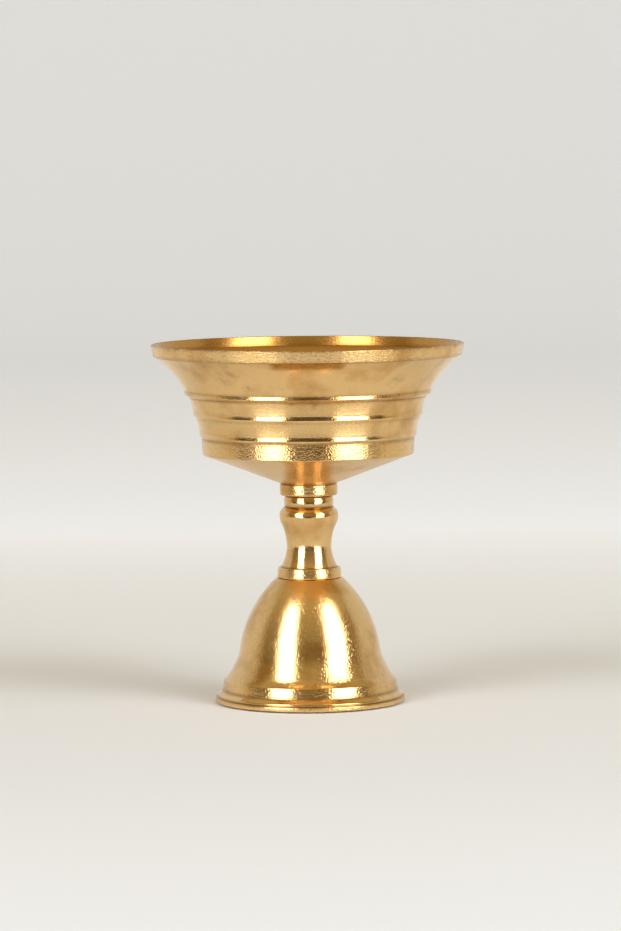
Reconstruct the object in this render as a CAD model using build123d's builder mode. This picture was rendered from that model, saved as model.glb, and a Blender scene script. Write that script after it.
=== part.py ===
"""Turned brass butter lamp: a flared cup, a baluster stem and a hollow bell foot, with a wick.

The lamp stands on the XY plane with its axis on +Z. Every profile is drawn as (radius, height)
on the XZ plane and revolved about Z. Lengths are in millimetres.
"""

import os

from build123d import *

os.makedirs("parts", exist_ok=True)

# Clearances on the radius
thread_gap = 0.06       # stud and screw in their tapped holes
spigot_gap = 0.04       # stem spigot in the crown of the foot
bolt_gap = 0.25         # screw through the washer
washer_room = 2.0       # round the washer, inside the crown
wick_gap = 0.05         # wick stick in its socket, and cotton on the stick
edge_break = 0.15       # small chamfer on turned corners

# Heights of the three turned pieces above their seats
foot_height = 24.4
stem_length = 18.5
cup_height = 27.4

# Foot: undercut edge, sloping flange, ring with a ledge, skirt and round shoulder
foot_radius = 18.6
edge_height = 1.35
edge_round = 0.55       # round where the flange meets the upright edge
undercut_height = 0.3   # sloping relief under the edge
undercut_depth = 0.8
ring_foot_radius = 17.15
ring_foot_rise = 1.15   # flange's climb from the upright edge to the ring
ring_height = 2.0
ring_taper = 0.25       # how much narrower the ring is at its top
ring_round = 0.25
ledge_width = 0.7       # ring's top, out from the skirt
ledge_rise = 0.2
ledge_cove = 0.6        # hollow round between the ledge and the skirt
bell_radius = 13.75     # where the skirt's curve turns into the shoulder
bell_rise = 6.0         # ring to that turn
skirt_drop = 2.3        # height of the skirt's curve, below the turn
skirt_spread = 0.7      # how far the curve flares
shoulder_radius = 23.0  # radius of the shoulder's arc
crown_overhang = 0.2    # crown beyond the stem's lower collar
crown_thickness = 3.0
foot_wall = 1.8

# Stem: lower collar, waist, bead, neck ring and upper collar
lower_collar_radius = 6.3
lower_collar_taper = 0.15
lower_collar_height = 2.1
collar_round = 0.35
flare_foot_radius = 5.6
waist_radius = 4.4
bead_foot_radius = 5.35
bead_radius = 5.8
bead_lower_height = 1.8
bead_upper_height = 1.65
neck_foot_radius = 4.7
neck_ring_radius = 4.85
neck_radius = 4.55
neck_height = 2.3
upper_collar_radius = 5.65
upper_collar_height = 2.25
spigot_radius = 3.6
spigot_relief = 0.8     # crown's thickness past the end of the spigot

# Cup: conical underside, bottom band, two tiers, trumpet flare and rim band
underside_height = 5.8
band_radius = 20.8
band_height = 3.3
lower_tier_height = 4.05
upper_tier_height = 4.0
tier_step = 0.45        # each lip's overhang past the tier below
tier_step_rise = 0.5    # height over which the lip steps out
lip_height = 0.85
tier_taper = 0.75       # how much each tier widens above its lip
flare_step = 0.9        # the flare's overhang past the upper tier
flare_lip_height = 0.75
flare_radius = 18.0     # radius of the trumpet's arc
rim_radius = 30.6
rim_height = 2.3
rim_taper = 0.4
rim_step = 0.15         # rim band's overhang past the flare
rim_width = 0.45        # flat top of the rim
mouth_height = 1.9      # steep inner face of the rim
mouth_taper = 0.5
cup_wall = 1.6
floor_rise = 1.6        # foot of the bottom band to the cup's floor
floor_corner = 3.0
floor_web = 1.2         # metal between the wick's socket and the stud's hole

# Hardware
stud_radius = 2.5
thread_pitch = 0.8
stem_turns = 6          # turns of the stud in the stem
hole_end = 0.4          # room past the end of a stud or screw
screw_radius = 2.0
screw_in_stem = 8.4
screw_head_radius = 3.6
screw_head_height = 2.4
slot_width = 0.9
slot_depth = 1.1
drill_point = 1.1       # height of the conical end of a drilled hole
washer_radius = 5.2
washer_thickness = 0.9

# Wick
stick_radius = 0.75
socket_depth = 2.4
stick_length = 17.6
cotton_foot_gap = 0.4   # cotton above the cup's floor
cotton_foot_radius = 1.3
cotton_radius = 1.9
cotton_belly_rise = 3.6
cotton_neck_radius = 1.2
cotton_neck_rise = 11.4
cotton_tip = 1.2        # cotton past the end of the stick

# Levels, from the table up to the rim
flange_level = edge_height + ring_foot_rise
ring_level = flange_level + ring_height
bell_level = ring_level + bell_rise
skirt_level = bell_level - skirt_drop
stem_seat = foot_height
lower_collar_top = stem_seat + lower_collar_height
cup_seat = stem_seat + stem_length
upper_collar_level = cup_seat - upper_collar_height
neck_level = upper_collar_level - neck_height
bead_level = neck_level - bead_upper_height
bead_foot_level = bead_level - bead_lower_height
waist_level = (lower_collar_top + bead_foot_level) / 2
band_foot = cup_seat + underside_height
band_top = band_foot + band_height
lower_tier_top = band_top + lower_tier_height
upper_tier_top = lower_tier_top + upper_tier_height
flare_level = upper_tier_top + tier_step_rise + flare_lip_height
rim_top = cup_seat + cup_height
rim_foot = rim_top - rim_height

# Levels inside
crown_underside = stem_seat - crown_thickness
screw_seat = crown_underside - washer_thickness
spigot_end = crown_underside + spigot_relief
stud_foot = cup_seat - stem_turns * thread_pitch
floor_level = band_foot + floor_rise
stick_foot = floor_level - socket_depth
stick_top = stick_foot + stick_length
stud_top = stick_foot - floor_web - hole_end

# Foot: a bell, open below, with a bored crown
crown_radius = lower_collar_radius + crown_overhang
crown_bore = spigot_radius + spigot_gap
ring_radius = ring_foot_radius - ring_taper
skirt_radius = bell_radius + skirt_spread
skirt_foot_radius = ring_radius - ledge_width
edge_corner = (foot_radius, edge_height)
ring_corner = (ring_radius, ring_level)
skirt_foot = (skirt_foot_radius, ring_level + ledge_rise)
inner_crown_radius = washer_radius + washer_room
with BuildPart() as foot:
    with BuildSketch(Plane.XZ):
        with BuildLine():
            Polyline((crown_bore, crown_underside), (crown_bore, stem_seat), (crown_radius, stem_seat))
            shoulder = RadiusArc((crown_radius, stem_seat), (bell_radius, bell_level), shoulder_radius)
            skirt_curve = TangentArc(shoulder @ 1, (skirt_radius, skirt_level), tangent=shoulder % 1)
            Polyline(
                skirt_curve @ 1,
                skirt_foot,
                ring_corner,
                (ring_foot_radius, flange_level),
                edge_corner,
                (foot_radius, undercut_height),
                (foot_radius - undercut_depth, 0),
                (ring_radius - foot_wall, 0),
                (skirt_foot_radius - foot_wall, ring_level),
                (bell_radius - foot_wall, bell_level),
            )
            RadiusArc(
                (bell_radius - foot_wall, bell_level),
                (inner_crown_radius, crown_underside),
                -(shoulder_radius - foot_wall),
            )
            Line((inner_crown_radius, crown_underside), (crown_bore, crown_underside))
        make_face()
        fillet(vertices().sort_by_distance(edge_corner)[0], edge_round)
        fillet(vertices().sort_by_distance(ring_corner)[0], ring_round)
        fillet(vertices().sort_by_distance(skirt_foot)[0], ledge_cove)
    revolve(axis=Axis.Z)
foot.part.label = "foot"
export_step(foot.part, "parts/foot.step")

# Stem: baluster with a tapped hole in each end and a spigot below
stud_hole_end = stud_foot - hole_end
screw_top = spigot_end + screw_in_stem
screw_hole_end = screw_top + hole_end
stud_hole_radius = stud_radius + thread_gap
screw_hole_radius = screw_radius + thread_gap
collar_corners = [
    (lower_collar_radius, stem_seat),
    (lower_collar_radius - lower_collar_taper, lower_collar_top),
    (upper_collar_radius, upper_collar_level),
    (upper_collar_radius, cup_seat),
]
with BuildPart() as stem:
    with BuildSketch(Plane.XZ):
        with BuildLine():
            Polyline(
                (0, screw_hole_end + drill_point),
                (screw_hole_radius, screw_hole_end),
                (screw_hole_radius, spigot_end),
                (spigot_radius - edge_break, spigot_end),
                (spigot_radius, spigot_end + edge_break),
                (spigot_radius, stem_seat),
                collar_corners[0],
                collar_corners[1],
                (flare_foot_radius, lower_collar_top),
            )
            TangentArc((waist_radius, waist_level), (flare_foot_radius, lower_collar_top), tangent=(0, -1))
            TangentArc((waist_radius, waist_level), (bead_foot_radius, bead_foot_level), tangent=(0, 1))
            TangentArc((bead_radius, bead_level), (bead_foot_radius, bead_foot_level), tangent=(0, -1))
            TangentArc((bead_radius, bead_level), (neck_foot_radius, neck_level), tangent=(0, 1))
            ThreePointArc(
                (neck_foot_radius, neck_level),
                (neck_ring_radius, neck_level + neck_height / 2),
                (neck_radius, upper_collar_level),
            )
            Polyline(
                (neck_radius, upper_collar_level),
                collar_corners[2],
                collar_corners[3],
                (stud_hole_radius, cup_seat),
                (stud_hole_radius, stud_hole_end),
                (0, stud_hole_end - drill_point),
                (0, screw_hole_end + drill_point),
            )
        make_face()
        fillet([vertices().sort_by_distance(corner)[0] for corner in collar_corners], collar_round)
    revolve(axis=Axis.Z)
stem.part.label = "stem"
export_step(stem.part, "parts/stem.step")

# Cup: the outside climbs from the boss by band, tiers, flare and rim, then turns in to the floor
boss_radius = upper_collar_radius
lower_lip_radius = band_radius + tier_step
lower_tier_radius = lower_lip_radius + tier_taper
upper_lip_radius = lower_tier_radius + tier_step
upper_tier_radius = upper_lip_radius + tier_taper
flare_lip_radius = upper_tier_radius + flare_step
rim_foot_radius = rim_radius - rim_taper
mouth_radius = rim_radius - edge_break - rim_width
throat_radius = mouth_radius - edge_break - mouth_taper
stud_bore_end = stud_top + hole_end
inner_corner = (band_radius - cup_wall, floor_level)
socket_radius = stick_radius + wick_gap
with BuildPart() as cup:
    with BuildSketch(Plane.XZ):
        with BuildLine():
            Polyline(
                (0, stud_bore_end),
                (stud_hole_radius, stud_bore_end),
                (stud_hole_radius, cup_seat),
                (boss_radius - edge_break, cup_seat),
                (boss_radius, cup_seat + edge_break),
                (band_radius - edge_break, band_foot),
                (band_radius, band_foot + edge_break),
                (band_radius, band_top),
                (lower_lip_radius, band_top + tier_step_rise),
                (lower_lip_radius, band_top + tier_step_rise + lip_height),
                (lower_tier_radius, lower_tier_top),
                (upper_lip_radius, lower_tier_top + tier_step_rise),
                (upper_lip_radius, lower_tier_top + tier_step_rise + lip_height),
                (upper_tier_radius, upper_tier_top),
                (flare_lip_radius, upper_tier_top + tier_step_rise),
                (flare_lip_radius, flare_level),
            )
            trumpet = RadiusArc(
                (flare_lip_radius, flare_level), (rim_foot_radius - rim_step, rim_foot), flare_radius
            )
            Polyline(
                trumpet @ 1,
                (rim_foot_radius, rim_foot),
                (rim_radius, rim_top - edge_break),
                (rim_radius - edge_break, rim_top),
                (mouth_radius, rim_top),
                (mouth_radius - edge_break, rim_top - edge_break),
                (throat_radius, rim_top - mouth_height),
            )
            inner_flare = RadiusArc(
                (throat_radius, rim_top - mouth_height),
                (flare_lip_radius - cup_wall, flare_level),
                -(flare_radius + cup_wall),
            )
            Polyline(
                inner_flare @ 1,
                inner_corner,
                (socket_radius, floor_level),
                (socket_radius, stick_foot),
                (0, stick_foot),
                (0, stud_bore_end),
            )
        make_face()
        fillet(vertices().sort_by_distance(inner_corner)[0], floor_corner)
    revolve(axis=Axis.Z)
cup.part.label = "cup"
export_step(cup.part, "parts/cup.step")

# Stud between the stem and the cup, with coned ends
stud_cone = thread_pitch / 2
with BuildPart() as cup_stud:
    with BuildSketch(Plane.XZ):
        with BuildLine():
            Polyline(
                (0, stud_foot),
                (stud_radius - stud_cone, stud_foot),
                (stud_radius, stud_foot + stud_cone),
                (stud_radius, stud_top - stud_cone),
                (stud_radius - stud_cone, stud_top),
                (0, stud_top),
                (0, stud_foot),
            )
        make_face()
    revolve(axis=Axis.Z)
cup_stud.part.label = "cup_stud"
export_step(cup_stud.part, "parts/cup_stud.step")

# Washer under the crown, round the screw
with BuildPart() as foot_washer:
    with BuildSketch(Plane.XY.offset(screw_seat)):
        Circle(washer_radius)
        Circle(screw_radius + bolt_gap, mode=Mode.SUBTRACT)
    extrude(amount=washer_thickness)
foot_washer.part.label = "foot_washer"
export_step(foot_washer.part, "parts/foot_washer.step")

# Slotted pan-head screw, up through the washer and the crown into the stem
screw_foot = screw_seat - screw_head_height
with BuildPart() as foot_screw:
    with BuildSketch(Plane.XZ):
        with BuildLine():
            Polyline(
                (0, screw_foot),
                (0, screw_top),
                (screw_radius - edge_break, screw_top),
                (screw_radius, screw_top - edge_break),
                (screw_radius, screw_seat),
                (screw_head_radius, screw_seat),
                (screw_head_radius, screw_seat - screw_head_height / 2),
            )
            TangentArc(
                (0, screw_foot), (screw_head_radius, screw_seat - screw_head_height / 2), tangent=(1, 0)
            )
        make_face()
    revolve(axis=Axis.Z)
    with BuildSketch(Plane.XY.offset(screw_foot)):
        Rectangle(2 * screw_head_radius, slot_width)
    extrude(amount=slot_depth, mode=Mode.SUBTRACT)
foot_screw.part.label = "foot_screw"
export_step(foot_screw.part, "parts/foot_screw.step")

# Wick stick, standing in the socket in the cup's floor
with BuildPart() as wick_stick:
    with BuildSketch(Plane.XY.offset(stick_foot)):
        Circle(stick_radius)
    extrude(amount=stick_length)
    chamfer(wick_stick.edges(), edge_break)
wick_stick.part.label = "wick_stick"
export_step(wick_stick.part, "parts/wick_stick.step")

# Cotton wound on the stick: a foot, a belly and a long taper that closes over the stick's end
cotton_foot = floor_level + cotton_foot_gap
cotton_bore = stick_radius + wick_gap
with BuildPart() as wick_cotton:
    with BuildSketch(Plane.XZ):
        with BuildLine():
            Line((cotton_bore, cotton_foot), (cotton_foot_radius, cotton_foot))
            Spline(
                (cotton_foot_radius, cotton_foot),
                (cotton_radius, cotton_foot + cotton_belly_rise),
                (cotton_neck_radius, cotton_foot + cotton_neck_rise),
                (0, stick_top + cotton_tip),
                tangents=((1, 1), (-1, 0)),
            )
            Polyline(
                (0, stick_top + cotton_tip),
                (0, stick_top + wick_gap),
                (cotton_bore, stick_top + wick_gap),
                (cotton_bore, cotton_foot),
            )
        make_face()
    revolve(axis=Axis.Z)
wick_cotton.part.label = "wick_cotton"
export_step(wick_cotton.part, "parts/wick_cotton.step")
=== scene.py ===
"""Looks of a small turned brass butter lamp: cup, baluster stem, bell foot, fasteners and wick.

Every turned piece is a profile of (radius, height) points carried round the lamp's axis. Profile
sizes are in millimetres, as on a drawing, and meshes are in metres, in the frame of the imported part.
"""

import math

import bpy
import numpy as np
from mathutils import Matrix, Vector


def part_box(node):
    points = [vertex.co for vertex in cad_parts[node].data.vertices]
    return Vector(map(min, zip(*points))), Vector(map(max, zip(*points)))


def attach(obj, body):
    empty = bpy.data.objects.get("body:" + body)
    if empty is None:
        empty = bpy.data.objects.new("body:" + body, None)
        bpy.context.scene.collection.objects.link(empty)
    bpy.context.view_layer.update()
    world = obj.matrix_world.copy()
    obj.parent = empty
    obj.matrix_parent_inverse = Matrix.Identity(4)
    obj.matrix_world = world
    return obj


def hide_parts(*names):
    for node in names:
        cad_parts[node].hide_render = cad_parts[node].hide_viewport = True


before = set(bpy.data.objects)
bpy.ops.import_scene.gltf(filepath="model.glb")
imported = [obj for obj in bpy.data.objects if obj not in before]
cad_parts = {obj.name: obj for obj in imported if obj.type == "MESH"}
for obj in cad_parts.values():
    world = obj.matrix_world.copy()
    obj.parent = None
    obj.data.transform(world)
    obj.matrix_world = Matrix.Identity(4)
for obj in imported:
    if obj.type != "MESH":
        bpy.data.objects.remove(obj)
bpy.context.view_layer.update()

MM = 0.001
TURN = 2 * math.pi

# Angle of the camera's side round the lamp's axis
FRONT = -TURN / 4

# Steps round each turned or wound piece, and round the room
turn_segments = 240
stem_segments = 192
washer_segments = 96
stick_segments = 32
thread_segments = 48
cotton_segments = 96
room_segments = 48


def node_span(node):
    """Radius, lowest level and highest level of a CAD node, in millimetres."""
    low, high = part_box(node)
    return round(high.x / MM, 2), round(low.z / MM, 2), round(high.z / MM, 2)


# Sizes that the frame gives
foot_radius, table_level, stem_seat = node_span("foot")
rim_radius, cup_seat, rim_top = node_span("cup")
_, spigot_end, _ = node_span("stem")
washer_radius, screw_seat, crown_underside = node_span("foot_washer")
screw_head_radius, screw_foot, screw_top = node_span("foot_screw")
stud_radius, stud_foot, stud_top = node_span("cup_stud")
stick_radius, stick_foot, stick_top = node_span("wick_stick")
cotton_radius, cotton_foot, cotton_top = node_span("wick_cotton")

# Turned corners: a lathe leaves them sharp, and polishing rounds them
corner = 0.12
fine_corner = 0.06
lip_corner = 0.07

# Foot
edge_height = 1.35
edge_round = 0.25
edge_break = 0.15
groove_width = 0.35
groove_depth = 0.28
undercut_height = 0.3
undercut_depth = 0.8
ring_foot_radius = 17.15
ring_foot_rise = 1.15
ring_height = 2.0
ring_taper = 0.25
ring_round = 0.3
ledge_width = 0.7
ledge_rise = 0.2
cove_share = 0.55
bell_radius = 13.75
bell_rise = 6.0
skirt_drop = 2.3
skirt_spread = 0.7
shoulder_radius = 23.0
crown_overhang = 0.2
spigot_radius = 3.6
spigot_gap = 0.04
foot_wall = 1.8
washer_room = 2.0

# Stem
lower_collar_radius = 6.3
lower_collar_taper = 0.15
lower_collar_height = 2.1
collar_round = 0.35
flare_foot_radius = 5.6
waist_radius = 4.4
bead_foot_radius = 5.35
bead_radius = 5.8
bead_lower_height = 1.8
bead_upper_height = 1.65
neck_foot_radius = 4.7
neck_ring_radius = 4.85
neck_radius = 4.55
neck_height = 2.3
upper_collar_radius = 5.65
upper_collar_height = 2.25

# Cup
underside_height = 5.8
band_radius = 20.8
band_height = 3.3
band_taper = 0.1
lower_tier_height = 4.05
upper_tier_height = 4.0
tier_step = 0.45
tier_step_rise = 0.5
lip_height = 0.85
tier_taper = 0.75
flare_step = 0.9
flare_lip_height = 0.75
flare_radius = 18.0
rim_height = 2.3
rim_taper = 0.46
rim_step = 0.15
rim_width = 0.45
rim_round = 0.12
mouth_height = 1.9
mouth_taper = 0.5
cup_wall = 1.6
floor_rise = 1.6
floor_corner = 3.0

# Holes and fasteners
thread_gap = 0.06
thread_pitch = 0.8
screw_radius = 2.0
screw_pitch = 0.7
thread_depth = 0.4
hole_end = 0.4
drill_point = 1.1
slot_width = 0.9
slot_depth = 1.1
bolt_gap = 0.25

# Wick
wick_gap = 0.05
cotton_foot_radius = 1.3
cotton_belly_rise = 3.6
cotton_neck_radius = 1.2
cotton_neck_rise = 11.4


def half_turn(angle):
    """Angle of the same direction, between minus and plus half a turn."""
    return (angle + math.pi) % TURN - math.pi


def arc_about(centre, start, end, steps):
    """Points on the circle about centre, along the shorter way from start to end."""
    spokes = np.array([start, end], float) - centre
    first, last = np.arctan2(spokes[:, 1], spokes[:, 0])
    angle = first + half_turn(last - first) * np.linspace(0, 1, steps)
    return centre + np.hypot(*spokes[0]) * np.stack([np.cos(angle), np.sin(angle)], -1)


def arc_of_radius(start, end, radius, steps=28):
    """Arc from start to end; its centre is to the right of the way there, or left if radius is negative."""
    start, end = np.array(start, float), np.array(end, float)
    chord = end - start
    length = np.hypot(*chord)
    right = np.array([chord[1], -chord[0]]) / length
    centre = (start + end) / 2 + right * math.copysign(math.sqrt(radius**2 - length**2 / 4), radius)
    return arc_about(centre, start, end, steps)


def arc_from_tangent(start, end, tangent, steps=24):
    """Arc from start to end that leaves start along tangent: the centre is on the normal there."""
    start, end = np.array(start, float), np.array(end, float)
    chord = end - start
    normal = np.array([-tangent[1], tangent[0]], float) / np.hypot(*tangent)
    centre = start + normal * (chord @ chord) / (2 * chord @ normal)
    return arc_about(centre, start, end, steps)


def soften(points, radius, steps=4):
    """Profile with each sharp corner replaced by a parabola that starts and ends at most radius from it.

    A near and a far point on each straight beside it keep the flats flat when shaded smooth. Points where
    the profile turns by less than smooth_turn, as along an arc, stay as they are.
    """
    smooth_turn = math.radians(20)
    least_step = 0.01
    near, far = 1.4 * radius, 0.7
    corner_share, lead_share = 0.3, 0.45
    points = np.array(points, float)
    here = points[1:-1]
    back, ahead = points[:-2] - here, points[2:] - here
    back_length = np.linalg.norm(back, axis=1, keepdims=True)
    ahead_length = np.linalg.norm(ahead, axis=1, keepdims=True)
    back, ahead = back / back_length, ahead / ahead_length
    turn = math.pi - np.arccos(np.clip((back * ahead).sum(1), -1, 1))
    entry = np.minimum(radius, corner_share * back_length)
    leave = np.minimum(radius, corner_share * ahead_length)
    t = np.linspace(0, 1, steps)[None, :, None]
    curve = here[:, None] + (1 - t) ** 2 * (back * entry)[:, None] + t**2 * (ahead * leave)[:, None]
    lead_in = [here + back * np.minimum(lead, lead_share * back_length) for lead in (far, near)]
    lead_out = [here + ahead * np.minimum(lead, lead_share * ahead_length) for lead in (near, far)]
    blocks = np.concatenate([np.stack(lead_in, 1), curve, np.stack(lead_out, 1)], axis=1)
    sharp = turn > smooth_turn
    blocks[~sharp] = here[~sharp][:, None]
    kept = np.broadcast_to(sharp[:, None], blocks.shape[:2]).copy()
    kept[:, 0] = True
    rounded = np.concatenate([points[:1], blocks[kept], points[-1:]])
    apart = np.linalg.norm(np.diff(rounded, axis=0), axis=1) > least_step
    return rounded[np.concatenate([[True], apart])]


def add_mesh(name, vertices, faces, material):
    """Smooth mesh object at the origin from metre vertices and lists of corners."""
    mesh = bpy.data.meshes.new(name)
    mesh.from_pydata(vertices.tolist(), [], faces)
    mesh.shade_smooth()
    mesh.materials.append(material)
    piece = bpy.data.objects.new(name, mesh)
    bpy.context.scene.collection.objects.link(piece)
    return piece


def new_piece(name, vertices, faces, material, marks):
    """Closed mesh object from metre vertices and quads that may have repeated corners.

    Vertices that no face uses are left out, and faces are flipped if they enclose a negative volume.
    Each mark is an attribute of the vertices.
    """
    used, faces = np.unique(faces, return_inverse=True)
    vertices, faces = vertices[used], faces.reshape(-1, 4)
    corners = vertices[faces]
    volume = np.einsum("ij,ij->i", corners[:, 0], np.cross(corners[:, 1], corners[:, 2])).sum()
    volume += np.einsum("ij,ij->i", corners[:, 0], np.cross(corners[:, 2], corners[:, 3])).sum()
    if volume < 0:
        faces = faces[:, ::-1]
    piece = add_mesh(name, vertices, [list(dict.fromkeys(face)) for face in faces.tolist()], material)
    for mark, values in marks.items():
        kind, field = ("FLOAT", "value") if values.ndim == 1 else ("FLOAT_VECTOR", "vector")
        attribute = piece.data.attributes.new(mark, kind, "POINT")
        attribute.data.foreach_set(field, values[used].astype(np.float32).ravel())
    return piece


def ring_faces(rows, columns, loop):
    """Quads of a grid of rows by columns that closes along the columns.

    It closes along the rows too if loop is set. Otherwise the first and the last row each shrink to one
    vertex, their first.
    """
    row = np.arange(rows if loop else rows - 1)[:, None]
    column = np.arange(columns)[None, :]
    next_row, next_column = (row + 1) % rows, (column + 1) % columns
    quads = np.stack(
        [
            row * columns + column,
            row * columns + next_column,
            next_row * columns + next_column,
            next_row * columns + column,
        ],
        -1,
    ).reshape(-1, 4)
    if loop:
        return quads
    last_row = (rows - 1) * columns
    return np.where(quads < columns, 0, np.where(quads >= last_row, last_row, quads))


def skin(name, points, material, loop=False, **marks):
    """Closed surface on a grid of millimetre points whose columns go round and whose rows go along.

    The rows close as in ring_faces. Marks are given on the same grid.
    """
    rows, columns = points.shape[:2]
    marks = {mark: values.reshape(rows * columns, *values.shape[2:]) for mark, values in marks.items()}
    return new_piece(name, points.reshape(-1, 3) * MM, ring_faces(rows, columns, loop), material, marks)


def crease_depth(profile, way, reach=0.2):
    """How deep in a hollow corner each point of a profile lies, from 0 to 1.

    It is the sum of the hollow turns of the profile, each spread over the way by a bell curve of that
    reach; a turn is hollow where it goes against the profile's own sense round its area.
    """
    ahead = np.diff(profile, axis=0)
    heading = np.arctan2(ahead[:, 1], ahead[:, 0])
    turn = half_turn(np.diff(heading))
    area = np.sum(profile[:, 0] * np.roll(profile[:, 1], -1) - np.roll(profile[:, 0], -1) * profile[:, 1])
    hollow = np.maximum(0, -turn * np.sign(area))
    spread = np.exp(-((way[:, None] - way[None, 1:-1]) ** 2) / (2 * reach**2))
    return np.clip(spread @ hollow, 0, 1)


def once_round(segments):
    """Row of angles that go once round in equal steps."""
    return TURN * np.arange(segments)[None, :] / segments


def round_axis(reach, angle, level):
    """Points (reach cos angle, reach sin angle, level) on the grid that the three arrays make."""
    return np.stack(np.broadcast_arrays(reach * np.cos(angle), reach * np.sin(angle), level), -1)


def turned_grid(profile, segments=turn_segments):
    """Angle, radius and level of a turned profile's points, as arrays that make a grid.

    The angle is a row, and the radius and the level are columns that follow the profile.
    """
    return once_round(segments), profile[:, :1], profile[:, 1:]


def lathe(name, profile, material, segments=turn_segments, **marks):
    """Turned solid: point (r, z) of the profile becomes the circle (r cos a, r sin a, z).

    A profile that starts and ends on the axis closes in two poles, and any other closes on itself.
    Marks, from 0 to 1, are given on the grid or on one column of it: "coarse" is how grainy the tool left
    a place, "ridged" how deep the tool's lines are, the tone mark how deep a tone is painted in for brass
    mirrored in brass, and the stain mark how much it is darkened by real stains and wear and by painted
    shadow and painted reflection. Two are added here: "turned" holds cos a, sin a and the way along the
    profile in millimetres, and "crease" how deep in a hollow corner a point lies.
    """
    angle, radius, level = turned_grid(profile, segments)
    way = np.concatenate([[0], np.cumsum(np.linalg.norm(np.diff(profile, axis=0), axis=1))])
    marks["crease"] = crease_depth(profile, way)[:, None]
    marks = {mark: np.broadcast_to(values, (len(profile), segments)) for mark, values in marks.items()}
    marks["turned"] = round_axis(1, angle, way[:, None])
    return skin(name, round_axis(radius, angle, level), material, loop=profile[0, 0] > 0, **marks)


def fit(piece, node, body):
    """The piece stands in for a CAD node, which is hidden, and rides on a body."""
    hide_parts(node)
    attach(piece, body)


# Materials
def node(tree, kind, **settings):
    """New shader node with its properties set; a setting that starts with in_ is an input's default value."""
    made = tree.nodes.new(kind)
    for key, value in settings.items():
        if key.startswith("in_"):
            made.inputs[key[3:].replace("_", " ")].default_value = value
        else:
            setattr(made, key, value)
    return made


def new_material(name):
    """New material, its node tree, and the surface shader that is linked to its output."""
    material = bpy.data.materials.new(name)
    material.use_nodes = True
    tree = material.node_tree
    return material, tree, tree.nodes["Principled BSDF"]


def object_place(tree):
    """Coordinates in the piece's own frame, in metres."""
    return node(tree, "ShaderNodeTexCoord").outputs["Object"]


def place_along(tree, axis):
    """One coordinate in the piece's own frame, in metres."""
    split = node(tree, "ShaderNodeSeparateXYZ")
    tree.links.new(object_place(tree), split.inputs[0])
    return split.outputs[axis]


def stretched(tree, vector, scale):
    """Coordinates times a scale along each axis."""
    made = node(tree, "ShaderNodeVectorMath", operation="MULTIPLY")
    made.inputs[1].default_value = scale
    tree.links.new(vector, made.inputs[0])
    return made.outputs["Vector"]


def scaled_way(tree, around, along):
    """Seamless lathe coordinates: cos and sin of the turn times around, and the profile's way times along."""
    turned = node(tree, "ShaderNodeAttribute", attribute_name="turned")
    return stretched(tree, turned.outputs["Vector"], (around, around, along))


def noise(tree, vector, detail, scale=1.0, roughness=0.5):
    """Value of a noise texture on the given coordinates."""
    made = node(tree, "ShaderNodeTexNoise", in_Scale=scale, in_Detail=detail, in_Roughness=roughness)
    tree.links.new(vector, made.inputs["Vector"])
    return made.outputs["Fac"]


def span(tree, value, low, high, new_low, new_high):
    """Value taken from the range low to high into the range new_low to new_high, and held at its ends."""
    made = node(tree, "ShaderNodeMapRange")
    for name, number in (("From Min", low), ("From Max", high), ("To Min", new_low), ("To Max", new_high)):
        made.inputs[name].default_value = number
    tree.links.new(value, made.inputs["Value"])
    return made.outputs["Result"]


def blend_colours(tree, share, first, second):
    """Mix of two colours by share."""
    made = node(tree, "ShaderNodeMix", data_type="RGBA")
    for socket, colour in ((made.inputs[6], first), (made.inputs[7], second)):
        if isinstance(colour, tuple):
            socket.default_value = (*colour, 1)
        else:
            tree.links.new(colour, socket)
    tree.links.new(share, made.inputs[0])
    return made.outputs[2]


def total(tree, first, second, operation="ADD"):
    """Sum, or another operation, of two values; the second may be a plain number."""
    made = node(tree, "ShaderNodeMath", operation=operation)
    tree.links.new(first, made.inputs[0])
    if isinstance(second, (int, float)):
        made.inputs[1].default_value = second
    else:
        tree.links.new(second, made.inputs[1])
    return made.outputs["Value"]


def times(tree, first, second):
    """Product of two values; the second may be a plain number."""
    return total(tree, first, second, "MULTIPLY")


def mark_of(tree, name):
    """Value of a mark that the lathe left on the mesh."""
    return node(tree, "ShaderNodeAttribute", attribute_name=name).outputs["Fac"]


def add_bump(tree, shader, height, distance):
    """Links a height to the shader's normal; a height of 1 stands out by distance, in metres."""
    bump = node(tree, "ShaderNodeBump", in_Strength=1.0, in_Distance=distance)
    tree.links.new(height, bump.inputs["Height"])
    tree.links.new(bump.outputs["Normal"], shader.inputs["Normal"])


bright_brass = (0.87, 0.58, 0.26)
# Deep brass: random clouds of tone, and the deeper tone painted in where brass mirrors brass
deep_brass_and_reflection = (0.58, 0.295, 0.065)
# Dark patina, which also paints shade into creases, the shadow under the foot and the reflection under the
# rim
dark_patina_and_shade = (0.21, 0.105, 0.02)

# Waves of the brass's finish along a millimetre of the profile
line_waves = 4.5
stroke_waves = 5.0
grain_waves = 3.2
pit_waves = 3.4

# Round it, the waves of the lines in a radian, and those of the strokes as a share of the grain's
line_turn = 0.7
stroke_share = 0.6

# Clouds of tone, blotches and mottled stains: their waves along a metre
cloud_waves = 140.0
blotch_waves = 500.0
mottle_waves = 900.0

# How dark a crease is painted, as patina and as shade in a hollow corner, what each mark adds to the
# roughness, and how far ridges spread a reflection
crease_shade = 0.75
coarse_dulling = 0.1
ridge_dulling = 0.12
mellow_dulling = 0.08
dark_dulling = 0.2
ridge_spread = 0.9

# How deep the tool's lines are on the whole foot, from 0 to 1
foot_ridges = 0.3


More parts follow.
